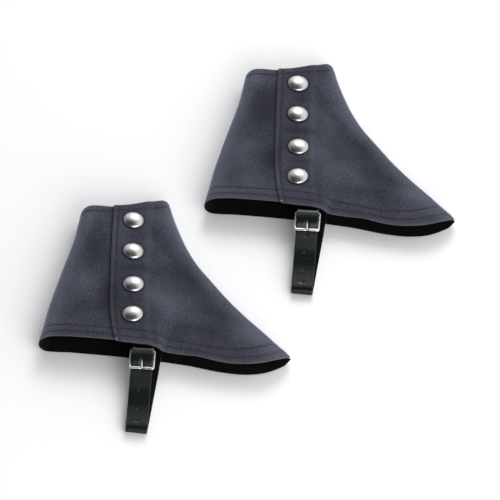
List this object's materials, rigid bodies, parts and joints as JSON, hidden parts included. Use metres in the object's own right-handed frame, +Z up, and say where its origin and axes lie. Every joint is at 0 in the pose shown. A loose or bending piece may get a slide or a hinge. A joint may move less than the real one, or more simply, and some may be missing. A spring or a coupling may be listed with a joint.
{
  "type": "pair of boot covers",
  "caption": "Felt gaiters that button up the outer side and strap under the foot, lying on their inner sides as open, hollow tubes.",
  "frame": {"origin": "middle of the pair's footprint, on the surface that they lie on", "axes": "+X from the heels towards the toes, +Y from the hems up the legs, +Z up from the surface, away from the inner sides"},
  "size_m": [0.4738, 0.5326, 0.0377],
  "materials": {
    "felt": "matt slate-grey wool felt with a soft bluish nap",
    "lining": "dull black cotton",
    "strap": "glossy black coated leather",
    "nickel": "polished nickel plate, slightly worn"
  },
  "bodies": {
    "root": {"upper_outer_front": "felt", "upper_outer_back": "felt", "upper_inner_side": "felt", "upper_lining": "lining", "upper_strap": "strap", "upper_buckle_tab": "strap", "upper_buckle_frame": "nickel", "upper_buckle_prong": "nickel", "upper_button_1": "nickel", "upper_button_2": "nickel", "upper_button_3": "nickel", "upper_button_4": "nickel", "lower_outer_front": "felt", "lower_outer_back": "felt", "lower_inner_side": "felt", "lower_lining": "lining", "lower_strap": "strap", "lower_buckle_tab": "strap", "lower_buckle_frame": "nickel", "lower_buckle_prong": "nickel", "lower_button_1": "nickel", "lower_button_2": "nickel", "lower_button_3": "nickel", "lower_button_4": "nickel"}
  },
  "joints": []
}
